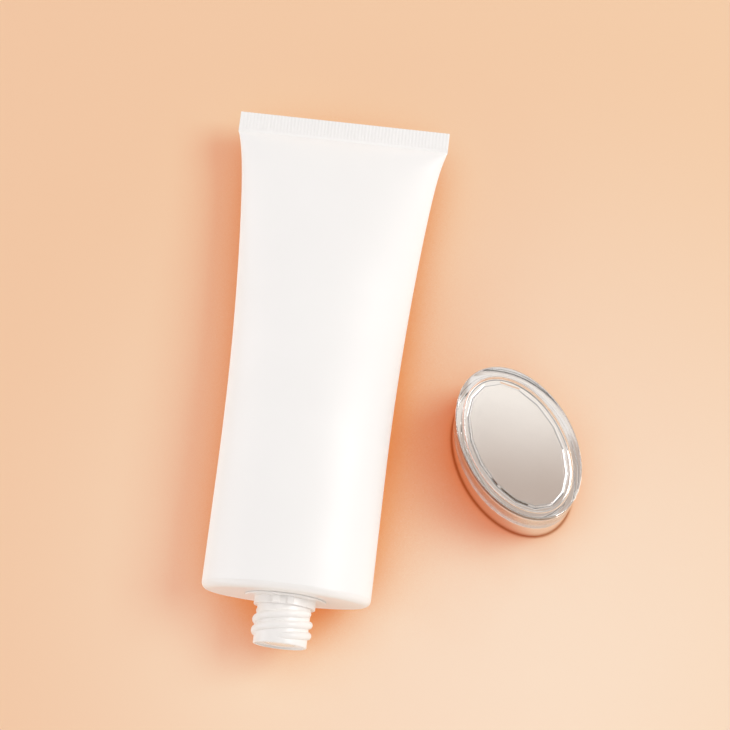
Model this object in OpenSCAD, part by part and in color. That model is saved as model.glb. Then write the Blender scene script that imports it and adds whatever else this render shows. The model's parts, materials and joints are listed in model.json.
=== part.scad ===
// Oval cream tube lying on its belly, with its screw cap taken off and standing beside it.
// The sleeve starts as a round plastic hose. A moulded head gives it an oval end, its tail is
// pressed flat, and every section between the two keeps the same girth.
// Tube frame: +z out of the mouth, +y up as the tube lies, z = 0 on the shoulder face.
// Cap frame: +z up, z = 0 on the cap's rim. The cap screws on with both frames in line.

/* [Shoulder] */
// Width of the oval shoulder
shoulder_w = 48; // [44:0.5:54]
// Height of the oval shoulder as the tube lies
shoulder_h = 31.1; // [27:0.1:36]
// Thickness of the shoulder wall
shoulder_t = 1.6; // [1.2:0.1:2]
// Radius of the shoulder's rounded edge
edge_r = 2; // [1:0.1:3]
// Length of the skirt inside the sleeve
skirt_l = 6; // [3:0.5:10]
// Thickness of the skirt
skirt_t = 1; // [0.7:0.1:1.4]

/* [Neck] */
// Height of the neck, from the shoulder face to the mouth
neck_h = 13.5; // [12:0.5:18]
// Diameter of the neck between the thread ridges
neck_d = 15.1; // [14.5:0.1:16]
// Diameter inside the neck, behind the orifice plate
neck_bore_d = 12.1; // [10:0.1:12.5]
// Diameter of the orifice
orifice_d = 9; // [5:0.5:9.5]
// Thickness of the orifice plate
orifice_t = 1.5; // [1:0.1:2]
// Diameter of the thin collar round the neck's foot
collar_d = 23; // [21:0.5:26]
// Height of the collar above the shoulder face
collar_h = 0.5; // [0.3:0.1:0.8]
// Diameter of the plain band at the neck's foot
band_d = 17.4; // [17.2:0.1:18.4]
// Height of the plain band above the shoulder face
band_h = 2.6; // [2:0.1:3]
// Width of each stop lug
lug_w = 2; // [1.5:0.1:2.5]
// Gap between the two lugs of a pair
lug_gap = 2.1; // [1.5:0.1:3]
// How far the lugs stand out of the plain band
lug_out = 0.5; // [0.3:0.1:0.8]

/* [Thread] */
// Distance along the neck from one ridge to the next
ridge_pitch = 3.05; // [2.9:0.05:3.3]
// Number of thread starts
thread_starts = 2; // [1:1:2]
// Height of a ridge above the neck
ridge_h = 1; // [0.7:0.1:1]
// Width of a ridge at its crest
crest_w = 1.1; // [0.8:0.1:1.3]
// Width of a ridge where it leaves the neck
foot_w = 2.3; // [1.8:0.1:2.4]
// Distance from the mouth to the middle of the first ridge
thread_inset = 1.9; // [1.7:0.1:2.4]

/* [Sleeve] */
// Length from the shoulder face to the cut end of the tail
sleeve_l = 144; // [110:1:180]
// Thickness of the sleeve wall
sleeve_wall = 0.5; // [0.4:0.05:0.7]
// Length behind the shoulder that keeps the oval section
straight_l = 35; // [20:1:45]
// Length of the underside that lies flat on a table
rest_l = 75; // [50:1:90]
// Depth that the underside is pressed in where it lies
belly_flat = 0.15; // [0.1:0.05:0.3]
// Share of the sleeve's widening that comes in the last stretch before the crimp
late_flare = 0.18; // [0.1:0.01:0.25]

/* [Crimp] */
// Length of the welded tail
crimp_l = 6; // [4:0.5:10]
// Thickness of the welded tail without its ribs
crimp_t = 1; // [0.9:0.05:1.5]
// Distance from one rib to the next
rib_pitch = 1.01; // [0.9:0.01:1.5]
// Height of the ribs on each face
rib_h = 0.2; // [0.1:0.05:0.3]
// Length of the smooth strip in front of the ribs
rib_margin = 0.75; // [0.5:0.05:1.5]

/* [Cap] */
// Length of the oval cap
cap_w = 46.6; // [44:0.2:54]
// Width of the oval cap
cap_d = 31; // [30:0.2:36]
// Height of the cap
cap_h = 29; // [26:0.5:36]
// Height of the plated band below the clear shell
cap_band_h = 13.4; // [10:0.2:14]
// Wall of the clear shell
shell_wall = 2; // [1.5:0.1:2.4]
// Thickness of the clear top
shell_top = 5; // [3:0.1:6]
// Bevel on the top edge of the clear shell
shell_bevel = 0.4; // [0.2:0.1:0.8]
// Wall of the plated cup
cup_wall = 1.2; // [0.9:0.1:1.4]
// Bevel on the top edge of the plated cup
cup_bevel = 0.9; // [0.6:0.1:1.4]
// Number of facets round the mirror plate
plate_sides = 16; // [12:2:24]
// Height of the mirror plate above the cup's top
plate_h = 1.3; // [0.8:0.1:1.8]
// Width of the bevel facets round the mirror plate
plate_bevel = 1; // [0.8:0.1:2]
// Width of the flat ledge round the foot of the mirror plate
plate_ledge = 0.35; // [0.2:0.05:1.5]

/* [Cap liner] */
// Wall of the white liner
liner_t = 1; // [0.8:0.1:1.1]
// Height of the liner's edge above the cap's rim
liner_rise = 0.8; // [0.8:0.1:1.5]
// Room for the neck's thread in the liner, on each side
thread_gap = 0.2; // [0.15:0.05:0.3]
// Room between the pieces of the cap where they slide together
fit_gap = 0.1; // [0.05:0.05:0.2]

/* [Layout] */
// Place of the cap's centre to the right of the tube's axis
cap_x = 60.2; // [60:0.1:90]
// Place of the cap's centre behind the shoulder face
cap_y = 49.3; // [20:0.1:120]
// Turn of the cap's long axis from the tube's width
cap_turn = 124.8; // [0:0.1:180]

/* [Hidden] */

// Points round an oval section, rings along the sleeve's taper, points round a cap oval
section_points = 64;
taper_rings = 20;
cap_points = 72;
round_fn = 96;
edge_rings = 5;
// Degrees from one thread section to the next, degrees of lead-in at each end of a ridge, and
// the angle round the neck where the first ridge starts at the mouth
thread_step = 10;
thread_fade = 40;
thread_from = 100;
// How strongly the rings crowd towards the tail
ring_ease = 1.7;
// Steepness of the even part of the sleeve's widening, and of its last stretch
flare_power = 2;
late_power = 17;
// Share of the taper after which the section squares, and how far it goes from an oval
square_from = 0.9;
square_by = 0.75;
// Overlap that joins shapes of one piece, and reach of a cut past the face that it opens
join = 0.3;
cut = 1;
// Gap of the heat seal between head and sleeve, and between the cream and its walls
seal_gap = 0.03;
fill_gap = 0.05;
// Distance from the orifice plate down to the cream
cream_drop = 3;
// Least half height of the hollow where the two walls of the tail meet
hollow_end = 0.3;

half_w = shoulder_w / 2;
half_h = shoulder_h / 2;
axis_z = half_h - belly_flat;
seat_z = -edge_r;
skirt_z = seat_z - skirt_l;
skirt_inset = sleeve_wall + seal_gap;
recess_inset = skirt_inset + skirt_t;
weld_s = sleeve_l - crimp_l;

neck_r = neck_d / 2;
band_r = band_d / 2;
ridge_r = neck_r + ridge_h;
lead = ridge_pitch * thread_starts;
thread_top = neck_h - thread_inset;
thread_run = thread_top - band_h - foot_w / 2;

liner_inset = cup_wall + fit_gap;
cup_step_z = cap_band_h - cup_wall;
liner_web_z = cup_step_z - fit_gap;
socket_r = ridge_r + thread_gap;
lead_in_r = max(band_r + lug_out, ridge_r) + thread_gap;
lead_in_z = band_h + thread_gap;
socket_top = neck_h + thread_gap;
socket_out_r = lead_in_r + liner_t;
socket_thread_top = thread_top - ridge_pitch / 2;
socket_thread_run = socket_thread_top - lead_in_z - foot_w / 2 - join;
cup_inset = shell_wall + fit_gap;
plate_inset = cup_inset + cup_bevel + plate_ledge;
plate_z = cap_h - shell_top - fit_gap;
cup_top_z = plate_z - plate_h;

// Girth of an oval from its half axes
function girth(a, b) =
    let (h = pow((a - b) / (a + b), 2)) PI * (a + b) * (1 + 3 * h / (10 + sqrt(4 - 3 * h)));

sleeve_girth = girth(half_w, half_h);
crimp_half_w = sleeve_girth / 4;
rib_count = floor(2 * crimp_half_w / rib_pitch);

// Half height that gives an oval of half width a the sleeve's girth, found by halving
function half_height(a, low = 0, high = 30, steps = 24) =
    let (middle = (low + high) / 2)
    steps == 0 ? middle
    : girth(a, middle) > sleeve_girth ? half_height(a, low, middle, steps - 1)
    : half_height(a, middle, high, steps - 1);

// How far along its taper the sleeve is, from 0 where it begins to 1 at the weld
function taper(s) = min(1, max(0, (s - straight_l) / (weld_s - straight_l)));
function flare(u) = (1 - late_flare) * pow(u, flare_power) + late_flare * pow(u, late_power);
function wide(s) = half_w + (crimp_half_w - half_w) * flare(taper(s));
function tall(s) = taper(s) == 0 ? half_h : max(crimp_t / 2, half_height(wide(s)));
// Middle of the section: the underside stays level up to rest_l
function middle_y(s) = tall(min(s, rest_l)) * (1 - belly_flat / half_h) - axis_z;
// Exponent that squares the section as the two walls close on each other
function squareness(s) =
    1 - square_by * pow(max(0, (taper(s) - square_from) / (1 - square_from)), 2);

// A station of the sleeve: distance behind the shoulder face, half width, half height,
// middle and squareness
function station(s) = [s, wide(s), tall(s), middle_y(s), squareness(s)];
TAPER_S = [for (i = [0:taper_rings]) let (k = 1 - i / taper_rings)
    straight_l + (weld_s - straight_l) * (1 - pow(k, ring_ease))];
TAPER = [for (s = TAPER_S) station(s)];
FOOT = station(0);

// Ring of points round a station, drawn in by inset, at height z in the tube frame
function section(st, inset, z) =
    let (a = st[1] - inset, b = st[2] - inset, low = st[2] * (1 - belly_flat / half_h) - inset)
    [for (i = [0:section_points - 1])
        let (t = 360 * i / section_points, y = b * sign(sin(t)) * pow(abs(sin(t)), st[4]))
        [a * cos(t), st[3] + max(y, -low), z]];

// Ring of points round a circle or round the cap's oval
function round_ring(r, z) =
    [for (i = [0:section_points - 1]) let (t = 360 * i / section_points) [r * cos(t), r * sin(t), z]];
function cap_ring(inset, z, points = cap_points) =
    [for (i = [0:points - 1]) let (t = 360 * i / points)
        [(cap_w / 2 - inset) * cos(t), (cap_d / 2 - inset) * sin(t), z]];

// Solid through a stack of rings with equally many points, listed from the lowest up
module stack(rings) {
    n = len(rings[0]);
    top = len(rings) - 1;
    walls = [for (k = [0:top - 1], i = [0:n - 1])
        let (a = k * n + i, b = k * n + (i + 1) % n) each [[a, a + n, b + n], [a, b + n, b]]];
    base = [[for (i = [0:n - 1]) i]];
    lid = [[for (i = [n - 1:-1:0]) top * n + i]];
    polyhedron(points = [for (ring = rings) each ring], faces = concat(base, walls, lid), convexity = 6);
}

// Upright slab of the cap's oval, drawn in by inset
module cap_slab(inset, low, high) {
    translate([0, 0, low])
        linear_extrude(high - low)
            polygon([for (p = cap_ring(inset, 0)) [p[0], p[1]]]);
}

// Box of the tube and the standing cap, seen from above
CAP_TURNED = [for (p = cap_ring(0, 0))
    [cap_x + p[0] * cos(cap_turn) - p[1] * sin(cap_turn), cap_y + p[0] * sin(cap_turn) + p[1] * cos(cap_turn)]];
low_x = min(-crimp_half_w, min([for (p = CAP_TURNED) p[0]]));
high_x = max(crimp_half_w, max([for (p = CAP_TURNED) p[0]]));
low_y = min(-neck_h, min([for (p = CAP_TURNED) p[1]]));
high_y = max(sleeve_l, max([for (p = CAP_TURNED) p[1]]));
origin = [(low_x + high_x) / 2, (low_y + high_y) / 2];

module lay_tube() {
    translate([-origin[0], -origin[1], axis_z]) rotate([90, 0, 0]) children();
}

module stand_cap() {
    translate([cap_x - origin[0], cap_y - origin[1], 0]) rotate([0, 0, cap_turn]) children();
}

// One section across a thread ridge at angle t: root is inside the wall that carries it
function ridge_section(t, z, root, tip, foot, crest) = [
    [root * cos(t), root * sin(t), z - foot / 2],
    [tip * cos(t), tip * sin(t), z - crest / 2],
    [tip * cos(t), tip * sin(t), z + crest / 2],
    [root * cos(t), root * sin(t), z + foot / 2]];

// Thread ridges on radius wall_r, standing out to tip_r (or in, where tip_r is the smaller)
module thread(wall_r, tip_r, z_top, run) {
    out = sign(tip_r - wall_r);
    root = wall_r - out * join;
    foot = foot_w + 2 * join * (foot_w - crest_w) / 2 / abs(tip_r - wall_r);
    turn = 360 * run / lead;
    steps = ceil(turn / thread_step);
    for (start = [0:thread_starts - 1]) {
        sections = [for (i = [0:steps])
            let (back = turn * (1 - i / steps),
                 rise = min(1, min(back, turn - back) / thread_fade),
                 tip = root + (tip_r - root) * max(rise, join / abs(tip_r - root) / 2))
            ridge_section(thread_from + 360 * start / thread_starts - back, z_top - lead * back / 360,
                root, tip, foot, crest_w)];
        thread_strip(out > 0 ? sections : [for (s = sections) [s[3], s[2], s[1], s[0]]]);
    }
}

// Closed strip through the sections of one ridge
module thread_strip(sections) {
    n = len(sections[0]);
    top = len(sections) - 1;
    walls = [for (k = [0:top - 1], i = [0:n - 1])
        let (a = k * n + i, b = k * n + (i + 1) % n) each [[a, b, b + n], [a, b + n, a + n]]];
    base = [[for (i = [n - 1:-1:0]) i]];
    lid = [[for (i = [0:n - 1]) top * n + i]];
    polyhedron(points = [for (s = sections) each s], faces = concat(base, walls, lid), convexity = 6);
}

// Outline of the welded tail seen from its cut end, with a row of ribs on each face
function ribbed_edge(side) =
    [for (i = [0:2 * rib_count])
        [side * crimp_half_w * (1 - i / rib_count), side * (crimp_t / 2 + (i % 2 == 0 ? 0 : rib_h))]];

// White sleeve: a hollow taper that ends in the welded, ribbed tail
module tube_sleeve() {
    rings = len(TAPER) - 1;
    hollow = [for (i = [rings:-1:0]) if (TAPER[i][2] - sleeve_wall > hollow_end) TAPER[i]];
    color("white") lay_tube() difference() {
        union() {
            stack(concat([for (i = [rings:-1:0]) section(TAPER[i], 0, -TAPER[i][0])],
                [section(FOOT, 0, seat_z)]));
            translate([0, middle_y(weld_s), 0]) crimp();
        }
        stack(concat([for (st = hollow) section(st, sleeve_wall, -st[0])],
            [section(FOOT, sleeve_wall, seat_z + cut)]));
    }
}

module crimp() {
    translate([-crimp_half_w, -crimp_t / 2, -weld_s - crimp_l])
        cube([2 * crimp_half_w, crimp_t, crimp_l + join]);
    translate([0, 0, -weld_s - crimp_l])
        linear_extrude(crimp_l - rib_margin)
            polygon(concat(ribbed_edge(1), ribbed_edge(-1)));
}

// White head: oval shoulder with a skirt in the sleeve, collar, lugs and threaded neck
module tube_head() {
    edge = [for (i = [0:edge_rings]) let (t = 90 * i / edge_rings)
        section(FOOT, edge_r * (1 - cos(t)), seat_z + edge_r * sin(t))];
    color("white") lay_tube() difference() {
        union() {
            stack(concat([section(FOOT, skirt_inset, skirt_z), section(FOOT, skirt_inset, seat_z)], edge));
            neck();
        }
        stack([section(FOOT, recess_inset, skirt_z - cut), section(FOOT, recess_inset, -shoulder_t)]);
        translate([0, 0, -shoulder_t - cut])
            cylinder(h = shoulder_t + cut + neck_h - orifice_t, d = neck_bore_d, $fn = round_fn);
        cylinder(h = neck_h + cut, d = orifice_d, $fn = round_fn);
    }
}

module neck() {
    translate([0, 0, -shoulder_t / 2]) {
        cylinder(h = neck_h + shoulder_t / 2, d = neck_d, $fn = round_fn);
        cylinder(h = band_h + shoulder_t / 2, d = band_d, $fn = round_fn);
        cylinder(h = collar_h + shoulder_t / 2, d = collar_d, $fn = round_fn);
        for (up = [-1, 1], right = [-1, 1])
            translate([right * (lug_gap + lug_w) / 2, up * (neck_r + band_r + lug_out) / 2, 0])
                translate([-lug_w / 2, -(band_r + lug_out - neck_r) / 2, 0])
                    cube([lug_w, band_r + lug_out - neck_r, band_h + shoulder_t / 2]);
    }
    thread(neck_r, ridge_r, thread_top, thread_run);
}

// Cream that fills the sleeve, the shoulder and the foot of the neck
module cream() {
    rings = len(TAPER) - 1;
    body_inset = sleeve_wall + fill_gap;
    skirt_fill = recess_inset + fill_gap;
    neck_fill_r = neck_bore_d / 2 - fill_gap;
    shoulder_fill_z = -shoulder_t - fill_gap;
    filled = [for (i = [rings:-1:0]) if (TAPER[i][2] - sleeve_wall > hollow_end) TAPER[i]];
    color("ivory") lay_tube() stack(concat(
        [for (st = filled) section(st, body_inset, -st[0] + (st[0] == filled[0][0] ? fill_gap : 0))],
        [section(FOOT, body_inset, skirt_z - fill_gap), section(FOOT, skirt_fill, skirt_z - fill_gap),
         section(FOOT, skirt_fill, shoulder_fill_z),
         round_ring(neck_fill_r, shoulder_fill_z), round_ring(neck_fill_r, neck_h - orifice_t - cream_drop)]));
}

// Clear shell that stands on the plated band and covers the mirror plate
module cap_shell() {
    color([0.9, 0.92, 0.95, 0.4]) stand_cap() difference() {
        stack([cap_ring(0, cap_band_h), cap_ring(0, cap_h - shell_bevel), cap_ring(shell_bevel, cap_h)]);
        cap_slab(shell_wall, cap_band_h - cut, cap_h - shell_top);
    }
}

// Plated cup: full-width band below, narrower dome with the faceted mirror plate above
module cap_plated_cup() {
    inner = cup_inset + cup_wall;
    color("silver") stand_cap() difference() {
        union() {
            cap_slab(0, 0, cap_band_h);
            stack([cap_ring(cup_inset, cap_band_h - join), cap_ring(cup_inset, cup_top_z - cup_bevel),
                cap_ring(cup_inset + cup_bevel, cup_top_z)]);
            stack([cap_ring(plate_inset, cup_top_z - join, plate_sides),
                cap_ring(plate_inset, cup_top_z, plate_sides),
                cap_ring(plate_inset + plate_bevel, plate_z, plate_sides)]);
        }
        cap_slab(cup_wall, -cut, cup_step_z);
        cap_slab(inner, cup_step_z - cut, cup_top_z - cup_bevel);
    }
}

// White liner: oval wall that grips the plated band, web, and the threaded socket for the neck
module cap_liner() {
    color("whitesmoke") stand_cap() {
        difference() {
            union() {
                difference() {
                    cap_slab(liner_inset, liner_rise, liner_web_z);
                    cap_slab(liner_inset + liner_t, liner_rise - cut, liner_web_z - liner_t);
                }
                translate([0, 0, liner_rise])
                    cylinder(h = socket_top + liner_t - liner_rise, r = socket_out_r, $fn = round_fn);
            }
            cylinder(h = socket_top, r = socket_r, $fn = round_fn);
            cylinder(h = lead_in_z, r = lead_in_r, $fn = round_fn);
        }
        thread(socket_r, neck_r + thread_gap, socket_thread_top, socket_thread_run);
    }
}

tube_sleeve();
tube_head();
cream();
cap_shell();
cap_plated_cup();
cap_liner();
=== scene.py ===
"""Looks of an oval cream tube that lies on its belly, and of its cap that stands beside it.

The frame gives the place and the outer sizes of every piece. Each sub-assembly below but the cap's liner
models its own piece with edit-mode operators and replaces the plain solid by it; every piece is dressed in
a procedural material. Sizes are millimetres unless a name or a docstring says otherwise.
"""
import json
import logging
import math
from collections.abc import Callable, Sequence
from dataclasses import dataclass, field
from enum import Enum

import bmesh
import bpy
from mathutils import Matrix, Vector

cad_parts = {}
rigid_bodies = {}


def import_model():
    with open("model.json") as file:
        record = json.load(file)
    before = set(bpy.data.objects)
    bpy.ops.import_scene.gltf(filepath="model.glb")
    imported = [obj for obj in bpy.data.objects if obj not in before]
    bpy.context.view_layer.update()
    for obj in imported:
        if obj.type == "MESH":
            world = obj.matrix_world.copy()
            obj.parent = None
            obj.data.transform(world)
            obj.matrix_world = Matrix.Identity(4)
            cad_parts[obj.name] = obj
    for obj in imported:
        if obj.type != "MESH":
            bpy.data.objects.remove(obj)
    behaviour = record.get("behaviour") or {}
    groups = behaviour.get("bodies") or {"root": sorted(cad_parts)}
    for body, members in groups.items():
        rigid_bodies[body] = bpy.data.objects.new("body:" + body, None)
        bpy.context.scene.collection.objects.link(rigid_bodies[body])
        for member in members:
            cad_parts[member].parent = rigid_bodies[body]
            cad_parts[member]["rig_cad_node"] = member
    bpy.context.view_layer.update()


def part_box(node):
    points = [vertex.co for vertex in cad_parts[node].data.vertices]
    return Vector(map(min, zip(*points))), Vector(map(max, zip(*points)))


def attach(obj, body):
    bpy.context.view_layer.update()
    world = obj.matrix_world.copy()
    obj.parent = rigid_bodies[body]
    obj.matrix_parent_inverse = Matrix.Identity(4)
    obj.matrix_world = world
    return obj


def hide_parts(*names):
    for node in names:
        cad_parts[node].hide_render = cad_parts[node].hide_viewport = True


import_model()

MM = 0.001
MERGE = 0.0005
BODY = "root"
NO_CHANGE = 1e-6
NOISE_MIDDLE = (0.35, 0.65)
CRISP_ANGLE = 35
log = logging.getLogger("cream_tube")


class Slot(Enum):
    """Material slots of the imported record."""

    SLEEVE = "white_sleeve"
    MOULDING = "white_moulding"
    CREAM = "cream"
    ACRYLIC = "clear_acrylic"
    SILVER = "silver_plate"


class Frame(Enum):
    """The two frames that pieces are modelled in before they take their place."""

    TUBE = "along the neck, mouth up"
    CAP = "standing cap, long side along x"


@dataclass(frozen=True)
class NodeBox:
    """Box round one node of the frame at rest.

    Attributes:
        low: Lowest corner.
        high: Highest corner.
    """

    low: Vector
    high: Vector

    @classmethod
    def of(cls, node: str) -> "NodeBox":
        """Read a node's box from the frame.

        Args:
            node: Name of the node.

        Returns:
            The box, in millimetres.
        """
        low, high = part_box(node)
        return cls(Vector(low) / MM, Vector(high) / MM)

    @property
    def middle(self) -> Vector:
        """Centre of the box."""
        return (self.low + self.high) / 2

    @property
    def size(self) -> Vector:
        """Lengths of the box's sides."""
        return self.high - self.low


@dataclass(frozen=True)
class Ring:
    """One oval ring of a stack.

    Attributes:
        z: Height of the ring along its stack.
        wide: Half width.
        tall: Half height.
        middle: Offset of the ring's centre along local y.
        square: Exponent of its sides: 1 is an oval, and towards 0 it becomes a slab.
    """

    z: float
    wide: float
    tall: float
    middle: float = 0.0
    square: float = 1.0

    def inset(self, by: float, z: float | None = None) -> "Ring":
        """Draw the ring in on all sides.

        Args:
            by: Distance to draw it in.
            z: New height, or None to keep the ring's own.

        Returns:
            The smaller ring.
        """
        height = self.z if z is None else z
        return Ring(height, self.wide - by, self.tall - by, self.middle, self.square)

    def centre(self) -> tuple[float, float, float]:
        """Centre of the ring, in metres."""
        return (0.0, self.middle * MM, self.z * MM)


def round_ring(radius: float, z: float) -> Ring:
    """Make a circular ring.

    Args:
        radius: Radius of the ring.
        z: Height of the ring.

    Returns:
        The ring.
    """
    return Ring(z, radius, radius)


def rounded(start: Ring, radius: float, outwards: bool, steps: int = 5) -> list[Ring]:
    """Round the edge between an upright wall and the face on top of it.

    Args:
        start: Ring of the wall, at the height of the face.
        radius: Radius of the rounding.
        outwards: True to go up the wall and in over the face, False for the way back.
        steps: Number of steps round the edge.

    Returns:
        The rings of the rounding, in that order.
    """
    rings = []
    for step in range(steps + 1):
        turn = math.pi / 2 * step / steps
        rings.append(start.inset(radius * (1 - math.cos(turn)), start.z - radius * (1 - math.sin(turn))))
    return rings if outwards else rings[::-1]


def leave_edit() -> None:
    """Go back to object mode with nothing selected."""
    if bpy.context.object is not None and bpy.context.object.mode != "OBJECT":
        bpy.ops.object.mode_set(mode="OBJECT")
    bpy.ops.object.select_all(action="DESELECT")


def activate(piece: bpy.types.Object) -> None:
    """Make a piece the only selected object and the active one.

    Args:
        piece: The piece to work on.
    """
    leave_edit()
    piece.select_set(True)
    bpy.context.view_layer.objects.active = piece


def edit(piece: bpy.types.Object) -> None:
    """Open a piece in edit mode, with its vertices to select.

    Args:
        piece: The piece to work on.
    """
    activate(piece)
    bpy.ops.object.mode_set(mode="EDIT")
    bpy.ops.mesh.select_mode(type="VERT")


def named_primitive(name: str) -> bpy.types.Object:
    """Name the primitive that was just added and open it in edit mode.

    Args:
        name: Name of the piece.

    Returns:
        The piece.
    """
    piece = bpy.context.object
    piece.name = name
    piece.data.name = name
    edit(piece)
    bpy.ops.mesh.select_all(action="SELECT")
    return piece


def pick(piece: bpy.types.Object, test: Callable[[Vector], bool]) -> list[int]:
    """Select the vertices of a piece in edit mode whose place passes a test.

    Args:
        piece: The piece in edit mode.
        test: Says of a place, in metres, whether it is picked.

    Returns:
        Indices of the picked vertices.
    """
    work = bmesh.from_edit_mesh(piece.data)
    work.verts.index_update()
    return pick_listed(piece, [v.index for v in work.verts if test(v.co)])


def pick_listed(piece: bpy.types.Object, indices: Sequence[int]) -> list[int]:
    """Select the listed vertices of a piece in edit mode, and nothing else.

    Args:
        piece: The piece in edit mode.
        indices: Indices of the vertices.

    Returns:
        The same indices.
    """
    work = bmesh.from_edit_mesh(piece.data)
    work.verts.ensure_lookup_table()
    for part in (work.faces, work.edges, work.verts):
        for element in part:
            element.select_set(False)
    for index in indices:
        work.verts[index].select_set(True)
    work.select_flush(True)
    return list(indices)


def picked(piece: bpy.types.Object) -> list[int]:
    """List the selected vertices of a piece in edit mode.

    Args:
        piece: The piece in edit mode.

    Returns:
        Their indices.
    """
    work = bmesh.from_edit_mesh(piece.data)
    work.verts.index_update()
    return [v.index for v in work.verts if v.select]


def close_up(piece: bpy.types.Object) -> None:
    """Merge doubles, turn all faces outwards and leave edit mode.

    Args:
        piece: The piece in edit mode. It is not used; the operators act on the mesh that is open.
    """
    bpy.ops.mesh.select_all(action="SELECT")
    bpy.ops.mesh.remove_doubles(threshold=MERGE * MM)
    bpy.ops.mesh.normals_make_consistent(inside=False)
    leave_edit()


def apply_modifier(piece: bpy.types.Object, kind: str, **values: object) -> None:
    """Add a modifier to a piece and apply it.

    Args:
        piece: The piece.
        kind: Type of the modifier.
        **values: Settings of the modifier.
    """
    activate(piece)
    modifier = piece.modifiers.new(kind.lower(), kind)
    for name, value in values.items():
        setattr(modifier, name, value)
    bpy.ops.object.modifier_apply(modifier=modifier.name)


def unite(piece: bpy.types.Object, others: Sequence[bpy.types.Object]) -> None:
    """Fuse other closed shapes into a piece and delete them.

    Args:
        piece: The piece that stays.
        others: The shapes that become part of it.
    """
    for other in others:
        apply_modifier(piece, "BOOLEAN", operation="UNION", solver="EXACT", object=other)
        bpy.data.objects.remove(other)


def smooth(piece: bpy.types.Object, angle: float, weighted: bool = False) -> None:
    """Shade a piece smooth except at its sharp edges.

    Args:
        piece: The piece.
        angle: Angle between faces, in degrees, from which an edge stays sharp.
        weighted: True to let large flat faces keep their own normals.
    """
    activate(piece)
    bpy.ops.object.shade_smooth_by_angle(angle=math.radians(angle))
    if weighted:
        apply_modifier(piece, "WEIGHTED_NORMAL", keep_sharp=True, mode="FACE_AREA")
    leave_edit()


@dataclass
class RingStack:
    """A closed mesh grown ring by ring with extrusions.

    Attributes:
        name: Name of the piece.
        rings: Rings from the first to the last.
        points: Number of points round each ring.
        loop: True if the last ring meets the first, False if both ends are closed by a face.
    """

    name: str
    rings: Sequence[Ring]
    points: int = 96
    loop: bool = False

    def grow(self) -> bpy.types.Object:
        """Build the mesh at the origin of its own frame.

        Returns:
            The piece.
        """
        first = self.rings[0]
        leave_edit()
        bpy.ops.mesh.primitive_circle_add(vertices=self.points, radius=1.0, location=(0, 0, 0))
        piece = named_primitive(self.name)
        bpy.ops.transform.resize(value=(first.wide * MM, first.tall * MM, 1), center_override=(0, 0, 0))
        bpy.ops.transform.translate(value=first.centre())
        self._square(piece, first, first.square - 1)
        if not self.loop:
            bpy.ops.mesh.edge_face_add()
        for last, ring in zip(self.rings, self.rings[1:]):
            step = (0, (ring.middle - last.middle) * MM, (ring.z - last.z) * MM)
            scale = (ring.wide / last.wide, ring.tall / last.tall, 1)
            bpy.ops.mesh.extrude_region_move(TRANSFORM_OT_translate={"value": step})
            bpy.ops.transform.resize(value=scale, center_override=ring.centre())
            self._square(piece, ring, ring.square - last.square)
        close_up(piece)
        return piece

    def _square(self, piece: bpy.types.Object, ring: Ring, change: float) -> None:
        """Square the selected ring by scaling each pair of its columns.

        Args:
            piece: The piece in edit mode, with only that ring selected.
            ring: The ring.
            change: Change of the ring's exponent.
        """
        if abs(change) < NO_CHANGE:
            return
        work = bmesh.from_edit_mesh(piece.data)
        chosen = picked(piece)
        work.verts.ensure_lookup_table()
        columns: dict[float, list[int]] = {}
        for index in chosen:
            share = round(abs(work.verts[index].co.x) / (ring.wide * MM), 4)
            columns.setdefault(min(1.0, share), []).append(index)
        for share, column in columns.items():
            if share < 1:
                pick_listed(piece, column)
                factor = math.sqrt(1 - share**2) ** change
                bpy.ops.transform.resize(value=(1, factor, 1), center_override=ring.centre())
        pick_listed(piece, chosen)


@dataclass(frozen=True)
class Places:
    """Places and outer sizes that the frame gives.

    Attributes:
        head: Box of the tube's head.
        sleeve: Box of the sleeve.
        shell: Box of the clear shell.
        cap_turn: Turn of the cap's long side from x, in degrees.
    """

    head: NodeBox = field(default_factory=lambda: NodeBox.of("tube_head"))
    sleeve: NodeBox = field(default_factory=lambda: NodeBox.of("tube_sleeve"))
    shell: NodeBox = field(default_factory=lambda: NodeBox.of("cap_shell"))
    cap_turn: float = 124.8

    def matrix(self, where: Frame, shoulder_y: float, axis_z: float) -> Matrix:
        """Give the placement of a modelling frame.

        Args:
            where: The frame that a piece was modelled in.
            shoulder_y: Place of the shoulder face along y.
            axis_z: Height of the neck's axis.

        Returns:
            Matrix from that frame to the object's own, in metres.
        """
        if where is Frame.TUBE:
            origin = Vector((self.head.middle.x, shoulder_y, axis_z)) * MM
            return Matrix.Translation(origin) @ Matrix.Rotation(math.pi / 2, 4, "X")
        origin = Vector((self.shell.middle.x, self.shell.middle.y, 0)) * MM
        return Matrix.Translation(origin) @ Matrix.Rotation(math.radians(self.cap_turn), 4, "Z")


def place(piece: bpy.types.Object, matrix: Matrix) -> None:
    """Move a piece to its place and bake the place into its mesh.

    Args:
        piece: The piece, modelled in its own frame.
        matrix: Placement of that frame.
    """
    activate(piece)
    piece.matrix_world = matrix
    bpy.ops.object.transform_apply(location=True, rotation=True, scale=True)
    leave_edit()


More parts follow.
